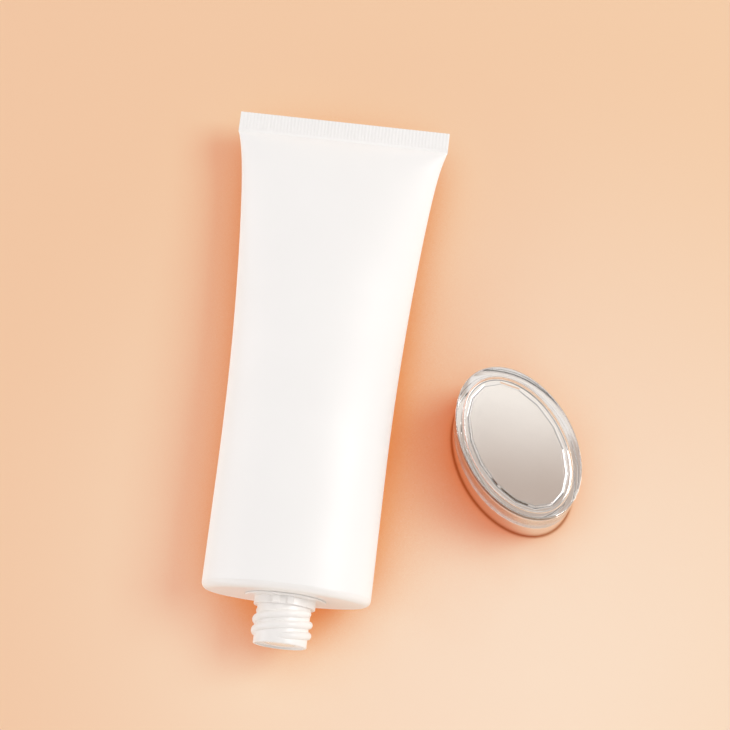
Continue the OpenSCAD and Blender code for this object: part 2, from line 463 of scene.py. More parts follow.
@dataclass
class Oval:
    """The tube's oval section and how it flattens towards the tail.

    Attributes:
        places: Places that the frame gives.
        shoulder_h: Height of the oval before its underside is pressed in.
        neck_h: Height of the neck, from the shoulder face to the mouth.
        straight_l: Length behind the shoulder that keeps the oval section.
        rest_l: Length of the underside that lies level.
        crimp_l: Length of the welded tail.
        crimp_t: Thickness of the welded tail without its ribs.
        late_flare: Share of the widening that comes just before the weld.
        flare_power: Steepness of the even part of the widening.
        late_power: Steepness of its last stretch.
        square_from: Share of the taper after which the section squares.
        square_by: How far it goes from an oval.
    """

    places: Places
    shoulder_h: float = 31.1
    neck_h: float = 13.5
    straight_l: float = 35.0
    rest_l: float = 75.0
    crimp_l: float = 6.0
    crimp_t: float = 1.0
    late_flare: float = 0.18
    flare_power: float = 2.0
    late_power: float = 17.0
    square_from: float = 0.9
    square_by: float = 0.75

    def __post_init__(self) -> None:
        """Work out what follows from the frame."""
        head = self.places.head
        sleeve = self.places.sleeve
        self.half_w = head.size.x / 2
        self.half_h = self.shoulder_h / 2
        self.belly_flat = self.shoulder_h - head.size.z
        self.axis_z = self.half_h - self.belly_flat
        self.shoulder_y = head.low.y + self.neck_h
        self.sleeve_l = sleeve.high.y - self.shoulder_y
        self.weld_s = self.sleeve_l - self.crimp_l
        self.crimp_half_w = sleeve.size.x / 2
        self.girth = self.girth_of(self.half_w, self.half_h)

    @staticmethod
    def girth_of(a: float, b: float) -> float:
        """Measure round an oval.

        Args:
            a: Half width.
            b: Half height.

        Returns:
            Its girth.
        """
        h = ((a - b) / (a + b)) ** 2
        return math.pi * (a + b) * (1 + 3 * h / (10 + math.sqrt(4 - 3 * h)))

    def half_height(self, a: float) -> float:
        """Find the half height that keeps the sleeve's girth.

        Args:
            a: Half width of the section.

        Returns:
            Half height of the section.
        """
        low, high = 0.0, self.half_w
        for _ in range(30):
            middle = (low + high) / 2
            if self.girth_of(a, middle) > self.girth:
                high = middle
            else:
                low = middle
        return low

    def taper(self, s: float) -> float:
        """Say how far along its taper the sleeve is.

        Args:
            s: Distance behind the shoulder face.

        Returns:
            0 where the taper begins, up to 1 at the weld.
        """
        return min(1.0, max(0.0, (s - self.straight_l) / (self.weld_s - self.straight_l)))

    def wide(self, s: float) -> float:
        """Half width of the sleeve at distance s behind the shoulder face."""
        u = self.taper(s)
        flare = (1 - self.late_flare) * u**self.flare_power + self.late_flare * u**self.late_power
        return self.half_w + (self.crimp_half_w - self.half_w) * flare

    def tall(self, s: float) -> float:
        """Half height of the sleeve at distance s behind the shoulder face."""
        if self.taper(s) == 0:
            return self.half_h
        return max(self.crimp_t / 2, self.half_height(self.wide(s)))

    def middle(self, s: float) -> float:
        """Height of the section's centre above the neck's axis at distance s."""
        return self.tall(min(s, self.rest_l)) * (1 - self.belly_flat / self.half_h) - self.axis_z

    def station(self, s: float) -> Ring:
        """Give the sleeve's section.

        Args:
            s: Distance behind the shoulder face.

        Returns:
            Its ring, in the tube's frame.
        """
        past = max(0.0, (self.taper(s) - self.square_from) / (1 - self.square_from))
        return Ring(-s, self.wide(s), self.tall(s), self.middle(s), 1 - self.square_by * past**2)

    def matrix(self, where: Frame) -> Matrix:
        """Placement of a modelling frame, in metres."""
        return self.places.matrix(where, self.shoulder_y, self.axis_z)


def press_belly(piece: bpy.types.Object) -> None:
    """Flatten what reaches below the ground, as the tube's own weight does.

    Args:
        piece: The placed piece.
    """
    edit(piece)
    pick(piece, lambda co: co.z < 0)
    bpy.ops.transform.resize(value=(1, 1, 0), center_override=(0, 0, 0))
    leave_edit()


class Nodes:
    """A node tree with short ways to add and join nodes."""

    def __init__(self, tree: bpy.types.NodeTree) -> None:
        """Take hold of a tree.

        Args:
            tree: The node tree.
        """
        self.tree = tree

    def add(self, kind: str, inputs: dict[str, object] | None = None, **settings: object) -> bpy.types.Node:
        """Add a node.

        Args:
            kind: Type name of the node.
            inputs: Values or output sockets for its inputs, by socket name.
            **settings: Settings of the node.

        Returns:
            The node.
        """
        node = self.tree.nodes.new(kind)
        for name, value in settings.items():
            setattr(node, name, value)
        for name, value in (inputs or {}).items():
            if isinstance(value, bpy.types.NodeSocket):
                self.tree.links.new(value, node.inputs[name])
            else:
                node.inputs[name].default_value = value
        return node

    def ramp(self, value: bpy.types.NodeSocket, reach: tuple[float, float]) -> bpy.types.NodeSocket:
        """Rise softly from 0 to 1 over a reach of a value.

        Args:
            value: The value.
            reach: Where the rise begins and where it ends.

        Returns:
            The share.
        """
        limits = {"Value": value, "From Min": reach[0], "From Max": reach[1]}
        return self.add("ShaderNodeMapRange", limits, interpolation_type="SMOOTHSTEP").outputs["Result"]

    def mix_colour(self, share: object, first: object, second: object,
                   blend: str = "MIX") -> bpy.types.NodeSocket:
        """Mix two colours.

        Args:
            share: Share of the second colour.
            first: The first colour, as four numbers or a socket.
            second: The second colour.
            blend: How they are mixed.

        Returns:
            The mixed colour.
        """
        made = self.add("ShaderNodeMix", data_type="RGBA", blend_type=blend)
        for index, value in ((0, share), (6, first), (7, second)):
            if isinstance(value, bpy.types.NodeSocket):
                self.tree.links.new(value, made.inputs[index])
            else:
                made.inputs[index].default_value = value
        return made.outputs[2]

    def noise(self, vector: bpy.types.NodeSocket, scale: object, detail: float) -> bpy.types.NodeSocket:
        """Add a noise texture.

        Args:
            vector: Coordinates.
            scale: Scale, as a number or a socket.
            detail: Number of octaves.

        Returns:
            Its value, from 0 to 1.
        """
        made = self.add("ShaderNodeTexNoise", {"Vector": vector, "Scale": scale, "Detail": detail})
        return made.outputs["Fac"]

    def spread(self, value: bpy.types.NodeSocket, low: object, high: object) -> bpy.types.NodeSocket:
        """Spread the middle of a noise over a range.

        Args:
            value: The noise.
            low: Value that its low places get, as a number or a socket.
            high: Value that its high places get.

        Returns:
            The spread value.
        """
        start, end = NOISE_MIDDLE
        made = self.add("ShaderNodeMapRange", {
            "Value": value, "From Min": start, "From Max": end, "To Min": low, "To Max": high})
        return made.outputs["Result"]


def surface_group() -> bpy.types.NodeTree:
    """Build the group that gives any finish its tone, its patchy gloss and its fine relief.

    Returns:
        The group, which is made once and then reused.
    """
    name = "made_surface"
    if name in bpy.data.node_groups:
        return bpy.data.node_groups[name]
    tree = bpy.data.node_groups.new(name, "ShaderNodeTree")
    sockets = [
        ("Tone", "INPUT", "NodeSocketColor"), ("Second Tone", "INPUT", "NodeSocketColor"),
        ("Gloss Low", "INPUT", "NodeSocketFloat"), ("Gloss High", "INPUT", "NodeSocketFloat"),
        ("Patch Scale", "INPUT", "NodeSocketFloat"), ("Grain Scale", "INPUT", "NodeSocketFloat"),
        ("Wave Share", "INPUT", "NodeSocketFloat"), ("Color", "OUTPUT", "NodeSocketColor"),
        ("Roughness", "OUTPUT", "NodeSocketFloat"), ("Height", "OUTPUT", "NodeSocketFloat")]
    for label, side, kind in sockets:
        tree.interface.new_socket(name=label, in_out=side, socket_type=kind)
    nodes = Nodes(tree)
    given = nodes.add("NodeGroupInput").outputs
    place_of = nodes.add("ShaderNodeTexCoord").outputs["Object"]
    patch = nodes.noise(place_of, given["Patch Scale"], 3.0)
    grain = nodes.noise(place_of, given["Grain Scale"], 2.0)
    tone = nodes.mix_colour(nodes.spread(patch, 0.0, 1.0), given["Tone"], given["Second Tone"])
    relief = nodes.add("ShaderNodeMix", {"Factor": given["Wave Share"], "A": grain, "B": patch})
    nodes.add("NodeGroupOutput", {
        "Color": tone,
        "Roughness": nodes.spread(patch, given["Gloss Low"], given["Gloss High"]),
        "Height": relief.outputs[0]})
    return tree


@dataclass(frozen=True)
class Finish:
    """A finish: what a surface is made of and how it was made.

    Attributes:
        name: Name of the material.
        tone: Colour, linear.
        second_tone: Colour of its slightly different patches, linear.
        gloss: Lowest and highest roughness.
        patch_scale: Patches in one metre.
        grain_scale: Grains in one metre.
        wave_share: Share of the patches in the relief, the rest is grain.
        relief: Depth of the relief, in millimetres.
    """

    name: str
    tone: tuple[float, float, float]
    second_tone: tuple[float, float, float]
    gloss: tuple[float, float]
    patch_scale: float
    grain_scale: float
    wave_share: float
    relief: float

    def material(self) -> bpy.types.Material:
        """Build the material, or find it if it is there.

        Returns:
            The material.
        """
        if self.name in bpy.data.materials:
            return bpy.data.materials[self.name]
        made = bpy.data.materials.new(self.name)
        made.use_nodes = True
        made.node_tree.nodes.clear()
        nodes = Nodes(made.node_tree)
        group = nodes.add("ShaderNodeGroup", node_tree=surface_group())
        for socket, value in (
                ("Tone", (*self.tone, 1)), ("Second Tone", (*self.second_tone, 1)),
                ("Gloss Low", self.gloss[0]), ("Gloss High", self.gloss[1]),
                ("Patch Scale", self.patch_scale), ("Grain Scale", self.grain_scale),
                ("Wave Share", self.wave_share)):
            group.inputs[socket].default_value = value
        height = self.height(nodes, group.outputs["Height"])
        bump = nodes.add("ShaderNodeBump", {
            "Height": height, "Strength": 1.0, "Distance": self.relief * MM})
        shader = nodes.add("ShaderNodeBsdfPrincipled", {
            "Base Color": group.outputs["Color"], "Roughness": group.outputs["Roughness"],
            "Normal": bump.outputs["Normal"]})
        self.tune(shader)
        nodes.add("ShaderNodeOutputMaterial", {"Surface": self.surface(nodes, shader)})
        return made

    def surface(self, nodes: Nodes, shader: bpy.types.Node) -> bpy.types.NodeSocket:
        """Give the surface that the material shows; for most finishes it is the shader itself."""
        return shader.outputs["BSDF"]

    def height(self, nodes: Nodes, relief: bpy.types.NodeSocket) -> bpy.types.NodeSocket:
        """Add what this finish has on top of the common relief; most have nothing."""
        return relief

    def tune(self, shader: bpy.types.Node) -> None:
        """Set what is the same all over the surface; most finishes keep the defaults."""


@dataclass(frozen=True)
class SatinSleeve(Finish):
    """Satin white extruded polyethylene, with faint draw lines along the tube.

    Attributes:
        line_scale: Draw lines in one metre round the tube.
        line_share: Share of the draw lines in the relief.
    """

    name: str = "satin_white_polyethylene"
    tone: tuple[float, float, float] = (0.95, 0.94, 0.93)
    second_tone: tuple[float, float, float] = (0.935, 0.925, 0.915)
    gloss: tuple[float, float] = (0.42, 0.50)
    patch_scale: float = 35.0
    grain_scale: float = 4500.0
    wave_share: float = 0.2
    relief: float = 0.012
    line_scale: float = 900.0
    line_share: float = 0.35

    def height(self, nodes: Nodes, relief: bpy.types.NodeSocket) -> bpy.types.NodeSocket:
        """Add the draw lines that the extruder leaves along the sleeve.

        Args:
            nodes: The material's nodes.
            relief: Height from the common group.

        Returns:
            Height with the lines.
        """
        place_of = nodes.add("ShaderNodeTexCoord").outputs["Object"]
        drawn = nodes.add("ShaderNodeMapping", {"Vector": place_of, "Scale": (1.0, 0.01, 1.0)})
        lines = nodes.noise(drawn.outputs["Vector"], self.line_scale, 2.0)
        mixed = nodes.add("ShaderNodeMix", {"Factor": self.line_share, "A": relief, "B": lines})
        return mixed.outputs[0]

    def tune(self, shader: bpy.types.Node) -> None:
        """Set the plastic's own index."""
        shader.inputs["IOR"].default_value = 1.51


@dataclass(frozen=True)
class MouldedWhite(Finish):
    """Smooth white moulded polyethylene of the head and of the cap's liner."""

    name: str = "moulded_white_polyethylene"
    tone: tuple[float, float, float] = (0.93, 0.91, 0.89)
    second_tone: tuple[float, float, float] = (0.91, 0.89, 0.87)
    gloss: tuple[float, float] = (0.28, 0.36)
    patch_scale: float = 80.0
    grain_scale: float = 3000.0
    wave_share: float = 0.4
    relief: float = 0.008

    def tune(self, shader: bpy.types.Node) -> None:
        """Set the plastic's own index."""
        shader.inputs["IOR"].default_value = 1.51


@dataclass(frozen=True)
class MoistCream(Finish):
    """Moist off-white cream."""

    name: str = "moist_cream"
    tone: tuple[float, float, float] = (0.93, 0.90, 0.84)
    second_tone: tuple[float, float, float] = (0.91, 0.87, 0.80)
    gloss: tuple[float, float] = (0.18, 0.30)
    patch_scale: float = 220.0
    grain_scale: float = 1500.0
    wave_share: float = 0.7
    relief: float = 0.12

    def tune(self, shader: bpy.types.Node) -> None:
        """Set the cream's index and its wet coat."""
        shader.inputs["IOR"].default_value = 1.45
        shader.inputs["Coat Weight"].default_value = 0.3


@dataclass(frozen=True)
class ClearAcrylic(Finish):
    """Polished clear acrylic of the cap's shell.

    Attributes:
        shade: Share of the lamps' light that passes through it, linear.
    """

    name: str = "polished_clear_acrylic"
    tone: tuple[float, float, float] = (1.0, 0.998, 0.995)
    second_tone: tuple[float, float, float] = (0.99, 0.985, 0.98)
    gloss: tuple[float, float] = (0.0, 0.012)
    patch_scale: float = 60.0
    grain_scale: float = 500.0
    wave_share: float = 0.9
    relief: float = 0.002
    shade: tuple[float, float, float] = (0.86, 0.85, 0.84)

    def tune(self, shader: bpy.types.Node) -> None:
        """Make the shader clear."""
        shader.inputs["IOR"].default_value = 1.49
        shader.inputs["Transmission Weight"].default_value = 1.0

    def surface(self, nodes: Nodes, shader: bpy.types.Node) -> bpy.types.NodeSocket:
        """Let the lamps' light through the acrylic.

        Args:
            nodes: The material's nodes.
            shader: The clear shader.

        Returns:
            The shader, which casts only a thin shadow.
        """
        path = nodes.add("ShaderNodeLightPath")
        clear = nodes.add("ShaderNodeBsdfTransparent", {"Color": (*self.shade, 1)})
        either = nodes.add("ShaderNodeMixShader", {"Fac": path.outputs["Is Shadow Ray"]})
        nodes.tree.links.new(shader.outputs["BSDF"], either.inputs[1])
        nodes.tree.links.new(clear.outputs["BSDF"], either.inputs[2])
        return either.outputs[0]


@dataclass(frozen=True)
class MirrorSilver(Finish):
    """Vacuum-plated mirror silver of the cap's cup."""

    name: str = "vacuum_plated_silver"
    tone: tuple[float, float, float] = (0.90, 0.88, 0.86)
    second_tone: tuple[float, float, float] = (0.87, 0.85, 0.83)
    gloss: tuple[float, float] = (0.03, 0.07)
    patch_scale: float = 70.0
    grain_scale: float = 900.0
    wave_share: float = 0.8
    relief: float = 0.003

    def tune(self, shader: bpy.types.Node) -> None:
        """Make the shader a metal."""
        shader.inputs["Metallic"].default_value = 1.0


def fit_out(piece: bpy.types.Object, node: str, finish: Finish) -> None:
    """Seat a finished piece in the frame and dress it.

    Args:
        piece: The piece, in its place.
        node: The node that it stands for.
        finish: Its finish.
    """
    piece.data.materials.clear()
    piece.data.materials.append(finish.material())
    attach(piece, BODY)
    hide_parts(node)
    triangles = sum(len(face.vertices) - 2 for face in piece.data.polygons)
    log.info("%s stands for %s: %d triangles", piece.name, node, triangles)


@dataclass
class TubeSleeve:
    """White sleeve that ends in the welded, ribbed tail.

    Attributes:
        oval: The tube's section.
        wall: Thickness of the wall.
        front_s: Distance from the shoulder face to the sleeve's front edge.
        front_r: Rounding of that edge.
        taper_rings: Rings along the taper.
        ring_ease: How strongly the rings crowd towards the tail.
        hollow_end: Least half height of the hollow.
        points: Points round a ring.
        rib_pitch: Distance from rib to rib.
        rib_h: Height of the ribs.
        rib_margin: Length of the smooth strip in front of the ribs.
        rib_fade: Length over which a rib rises out of that strip.
        rib_columns: Columns of faces across one rib.
        plate_rows: Rows of faces along the tail.
        overlap: How far the tail reaches into the sleeve.
    """

    oval: Oval
    wall: float = 0.5
    front_s: float = 2.0
    front_r: float = 0.05
    taper_rings: int = 56
    ring_ease: float = 1.7
    hollow_end: float = 0.3
    points: int = 128
    rib_pitch: float = 1.01
    rib_h: float = 0.13
    rib_margin: float = 0.75
    rib_fade: float = 0.6
    rib_columns: int = 4
    plate_rows: int = 30
    overlap: float = 0.25

    def _stations(self) -> list[Ring]:
        """List the outer rings from behind the front edge to the weld."""
        oval = self.oval
        run = oval.weld_s - oval.straight_l
        shares = [1 - (1 - i / self.taper_rings) ** self.ring_ease for i in range(self.taper_rings + 1)]
        before = [self.front_s + self.front_r, oval.straight_l / 2]
        return [oval.station(s) for s in before + [oval.straight_l + run * share for share in shares]]

    def _shell(self) -> bpy.types.Object:
        """Grow the wall as one closed shell, from the end of its hollow to the weld."""
        outer = self._stations()
        front = self.oval.station(self.front_s)
        hollow = [ring.inset(self.wall) for ring in outer if ring.tall - self.wall > self.hollow_end]
        lip = [front.inset(self.wall), front.inset(self.front_r)]
        rings = hollow[::-1] + lip + outer
        return RingStack("sleeve_with_ribbed_tail", rings, self.points).grow()

    def _tail(self) -> bpy.types.Object:
        """Model the welded tail as a slab with a row of ribs on both faces."""
        oval = self.oval
        ribs = int(2 * oval.crimp_half_w / self.rib_pitch)
        columns = ribs * self.rib_columns
        length = oval.crimp_l + self.overlap
        leave_edit()
        bpy.ops.mesh.primitive_grid_add(
            x_subdivisions=columns, y_subdivisions=self.plate_rows, size=1.0, location=(0, 0, 0))
        piece = named_primitive("welded_tail")
        bpy.ops.transform.resize(
            value=(2 * oval.crimp_half_w * MM, length * MM, 1), center_override=(0, 0, 0))
        bpy.ops.transform.translate(value=(0, 0, oval.crimp_t / 2 * MM))
        bpy.ops.mesh.extrude_region_move(TRANSFORM_OT_translate={"value": (0, 0, -oval.crimp_t * MM)})
        rib_l = oval.crimp_l - self.rib_margin
        column_w = 2 * oval.crimp_half_w / columns
        for row in range(self.plate_rows + 1):
            back = length * (1 - row / self.plate_rows)
            rise = min(1.0, max(0.0, (rib_l - back) / self.rib_fade))
            swell = math.sin(rise * math.pi / 2)
            if swell > 0:
                self._raise_ribs(piece, length / 2 - back, column_w, swell)
        close_up(piece)
        y = self.oval.places.sleeve.high.y - length / 2
        z = oval.axis_z + oval.middle(oval.weld_s)
        place(piece, Matrix.Translation(Vector((oval.places.head.middle.x, y, z)) * MM))
        return piece

    def _raise_ribs(self, piece: bpy.types.Object, y: float, column_w: float, swell: float) -> None:
        """Raise the ribs along one row of the tail.

        Args:
            piece: The tail in edit mode.
            y: Place of the row.
            column_w: Width of a column.
            swell: Share of the full height that the ribs have there.
        """
        near = column_w / 4
        for side in (1, -1):
            for step in range(1, self.rib_columns):
                height = self.rib_h * swell * math.sin(math.pi * step / self.rib_columns)

                def on_rib(co: Vector) -> bool:
                    """Say whether a vertex is on this row, this face and this line of the ribs."""
                    column = round((co.x / MM + self.oval.crimp_half_w) / column_w)
                    return (co.z * side > 0 and abs(co.y / MM - y) < near
                            and column % self.rib_columns == step)

                pick(piece, on_rib)
                bpy.ops.transform.translate(value=(0, 0, side * height * MM))

    def build(self) -> bpy.types.Object:
        """Model the sleeve in its place.

        Returns:
            The sleeve.
        """
        piece = self._shell()
        place(piece, self.oval.matrix(Frame.TUBE))
        press_belly(piece)
        unite(piece, [self._tail()])
        smooth(piece, 42)
        return piece

    def dress(self, piece: bpy.types.Object) -> None:
        """Give the sleeve its finish."""
        fit_out(piece, "tube_sleeve", SatinSleeve())


@dataclass
class ThreadRidge:
    """One start of a screw thread, with a round crest and faded ends.

    Attributes:
        wall_r: Radius of the wall that carries it.
        height: How far its crest stands out of the wall; negative inside a socket.
        half_foot: Half its width at the wall.
        top: Height of its upper end.
        run: Length along the axis.
        lead: Length along the axis in one turn.
        from_angle: Angle of its upper end, in degrees.
        step: Degrees from one section to the next.
        fade: Degrees over which each end rises.
        sink: Depth of its middle line below the wall's surface.
        root_share: Share of its height below the middle line that a fading end shrinks towards.
        end_size: Share of its section that is left at its very ends.
        points: Points round its section.
    """

    wall_r: float
    height: float
    half_foot: float
    top: float
    run: float
    lead: float
    from_angle: float
    step: float = 6.0
    fade: float = 40.0
    sink: float = 0.12
    root_share: float = 0.6
    end_size: float = 0.35
    points: int = 16

    def build(self) -> bpy.types.Object:
        """Model the ridge by screwing its section round the axis.

        Returns:
            The ridge, in its own frame.
        """
        turn = 360 * self.run / self.lead
        steps = round(turn / self.step)
        centre_r = self.wall_r - math.copysign(self.sink, self.height)
        leave_edit()
        bpy.ops.mesh.primitive_circle_add(vertices=self.points, radius=1.0, location=(0, 0, 0))
        piece = named_primitive("thread_ridge")
        bpy.ops.transform.rotate(value=math.pi / 2, orient_axis="X", center_override=(0, 0, 0))
        crest = abs(self.height) + self.sink
        bpy.ops.transform.resize(value=(crest * MM, 1, self.half_foot * MM), center_override=(0, 0, 0))
        bpy.ops.transform.translate(value=(centre_r * MM, 0, (self.top - self.run) * MM))
        leave_edit()
        apply_modifier(
            piece, "SCREW", axis="Z", angle=math.radians(turn), screw_offset=self.run * MM,
            steps=steps, render_steps=steps, use_merge_vertices=False)
        self._fade_ends(piece, turn, steps, centre_r)
        place(piece, Matrix.Rotation(math.radians(self.from_angle - turn), 4, "Z"))
        return piece

    def _fade_ends(self, piece: bpy.types.Object, turn: float, steps: int, centre_r: float) -> None:
        """Shrink the sections at both ends and close them.

        Args:
            piece: The screwed ridge.
            turn: Degrees that the ridge goes round.
            steps: Number of its steps.
            centre_r: Radius of its middle line.
        """
        edit(piece)
        sunk_r = centre_r - self.height * self.root_share
        for index in range(steps + 1):
            back = turn * index / steps
            rise = min(1.0, min(back, turn - back) / self.fade)
            if rise < 1:
                pick_listed(piece, range(index * self.points, (index + 1) * self.points))
                angle = math.radians(back)
                root = (sunk_r * math.cos(angle) * MM, sunk_r * math.sin(angle) * MM,
                        (self.top - self.run + self.run * index / steps) * MM)
                size = self.end_size + (1 - self.end_size) * math.sin(rise * math.pi / 2)
                bpy.ops.transform.resize(value=(size, size, size), center_override=root)
        for index in (0, steps):
            pick_listed(piece, range(index * self.points, (index + 1) * self.points))
            bpy.ops.mesh.edge_face_add()
        close_up(piece)


@dataclass
class TubeHead:
    """White moulded head: oval shoulder, skirt, collar, lugs and threaded neck.

    Attributes:
        oval: The tube's section.
        edge_r: Radius of the shoulder's rounded edge.
        shoulder_t: Thickness of the shoulder wall.
        skirt_l: Length of the skirt.
        skirt_t: Thickness of the skirt.
        skirt_inset: Distance from the tube's outside to the skirt.
        neck_d: Diameter of the neck between its ridges.
        bore_d: Diameter inside the neck.
        orifice_d: Diameter of the orifice.
        orifice_t: Thickness of the orifice plate.
        rim_wall: Thickness of the rim round the mouth.
        rim_depth: Depth of the orifice plate below that rim.
        lip_r: Rounding of the mouth's outer edge.
        collar_d: Diameter of the thin collar.
        collar_h: Height of the collar.
        collar_lift: Depth of the groove between the collar and the shoulder.
        band_d: Diameter of the plain band.
        band_h: Height of the band.
        fillet: Small rounding of the collar, the band and the orifice.
        lug_w: Width of a lug.
        lug_gap: Gap between the lugs of a pair.
        lug_out: How far a lug stands out of the band.
        lug_r: Rounding of a lug.
        ridge_pitch: Distance from ridge to ridge.
        starts: Number of thread starts.
        ridge_h: Height of a ridge.
        ridge_foot: Width of a ridge at its foot.
        inset: Distance from the mouth to the first ridge.
        thread_from: Angle where the first ridge starts, in degrees.
        points: Points round a ring.
    """

    oval: Oval
    edge_r: float = 2.0
    shoulder_t: float = 1.6
    skirt_l: float = 6.0
    skirt_t: float = 1.0
    skirt_inset: float = 0.53
    neck_d: float = 15.1
    bore_d: float = 12.1
    orifice_d: float = 9.0
    orifice_t: float = 1.5
    rim_wall: float = 0.7
    rim_depth: float = 0.5
    lip_r: float = 0.25
    collar_d: float = 23.0
    collar_h: float = 0.5
    collar_lift: float = 0.09
    band_d: float = 17.4
    band_h: float = 2.6
    fillet: float = 0.15
    lug_w: float = 2.0
    lug_gap: float = 2.1
    lug_out: float = 0.5
    lug_r: float = 0.18
    ridge_pitch: float = 3.05
    starts: int = 2
    ridge_h: float = 1.0
    ridge_foot: float = 2.3
    inset: float = 1.9
    thread_from: float = 100.0
    points: int = 128

    def _shoulder(self) -> list[Ring]:
        """List the rings of the skirt's outside, the rounded edge and the shoulder face."""
        foot = self.oval.station(0)
        skirt = foot.inset(self.skirt_inset)
        seat = -self.edge_r
        edge = rounded(foot, self.edge_r, outwards=True, steps=10)
        return [skirt.inset(0, seat - self.skirt_l), skirt.inset(0, seat)] + edge

    def _neck(self) -> list[Ring]:
        """List the rings of the collar, the band, the neck's outside and its lip."""
        small = self.fillet
        collar_r, band_r, neck_r = self.collar_d / 2, self.band_d / 2, self.neck_d / 2
        top, groove_r = self.oval.neck_h, collar_r - 2 * small
        return [
            round_ring(groove_r, 0), round_ring(groove_r, self.collar_lift),
            round_ring(collar_r, self.collar_lift),
            *rounded(round_ring(collar_r, self.collar_h), small, True, 3),
            round_ring(band_r + small, self.collar_h), round_ring(band_r, self.collar_h + small),
            *rounded(round_ring(band_r, self.band_h), small, True, 3),
            round_ring(neck_r + small, self.band_h), round_ring(neck_r, self.band_h + small),
            *rounded(round_ring(neck_r, top), self.lip_r, True, 5)]

    def _inside(self) -> list[Ring]:
        """List the rings from the rim down the orifice and the bore and back under the shoulder."""
        top = self.oval.neck_h
        plate = top - self.rim_depth
        rim_r, hole_r, bore_r = self.neck_d / 2 - self.rim_wall, self.orifice_d / 2, self.bore_d / 2
        recess = self.oval.station(0).inset(self.skirt_inset + self.skirt_t)
        return [
            round_ring(rim_r + self.fillet / 2, top), round_ring(rim_r, top - self.fillet / 2),
            round_ring(rim_r, plate), round_ring(hole_r + self.fillet, plate),
            round_ring(hole_r, plate - self.fillet), round_ring(hole_r, plate - self.orifice_t),
            round_ring(bore_r, plate - self.orifice_t),
            round_ring(bore_r, -self.shoulder_t), recess.inset(0, -self.shoulder_t),
            recess.inset(0, -self.edge_r - self.skirt_l)]

    def _lug(self, up: int, right: int) -> bpy.types.Object:
        """Model one stop lug.

        Args:
            up: 1 for the upper pair, -1 for the lower.
            right: 1 for the right lug of the pair, -1 for the left.

        Returns:
            The lug, in the tube's frame.
        """
        inner, outer = self.neck_d / 2, self.band_d / 2 + self.lug_out
        low, high = self.collar_h / 2, self.band_h
        leave_edit()
        bpy.ops.mesh.primitive_cube_add(size=1.0, location=(0, 0, 0))
        piece = named_primitive("lug")
        bpy.ops.transform.resize(
            value=(self.lug_w * MM, (outer - inner) * MM, (high - low) * MM), center_override=(0, 0, 0))
        middle = (right * (self.lug_gap + self.lug_w) / 2 * MM, up * (outer + inner) / 2 * MM,
                  (high + low) / 2 * MM)
        bpy.ops.transform.translate(value=middle)
        bpy.ops.mesh.bevel(offset=self.lug_r * MM, segments=3, affect="EDGES")
        close_up(piece)
        return piece

    def build(self) -> bpy.types.Object:
        """Model the head in its place.

        Returns:
            The head.
        """
        outside = self._shoulder()
        rings = outside + self._neck() + self._inside() + outside[:1]
        piece = RingStack("threaded_head", rings, self.points, loop=True).grow()
        top = self.oval.neck_h - self.inset
        run = top - self.band_h - self.ridge_foot / 2
        lead = self.ridge_pitch * self.starts
        angles = [self.thread_from + 360 * start / self.starts for start in range(self.starts)]
        neck_r, half_foot = self.neck_d / 2, self.ridge_foot / 2
        ridges = [ThreadRidge(neck_r, self.ridge_h, half_foot, top, run, lead, angle).build()
                  for angle in angles]
        lugs = [self._lug(up, right) for up in (1, -1) for right in (1, -1)]
        unite(piece, ridges + lugs)
        place(piece, self.oval.matrix(Frame.TUBE))
        press_belly(piece)
        smooth(piece, CRISP_ANGLE, weighted=True)
        return piece

    def dress(self, piece: bpy.types.Object) -> None:
        """Give the head its finish."""
        fit_out(piece, "tube_head", MouldedWhite())


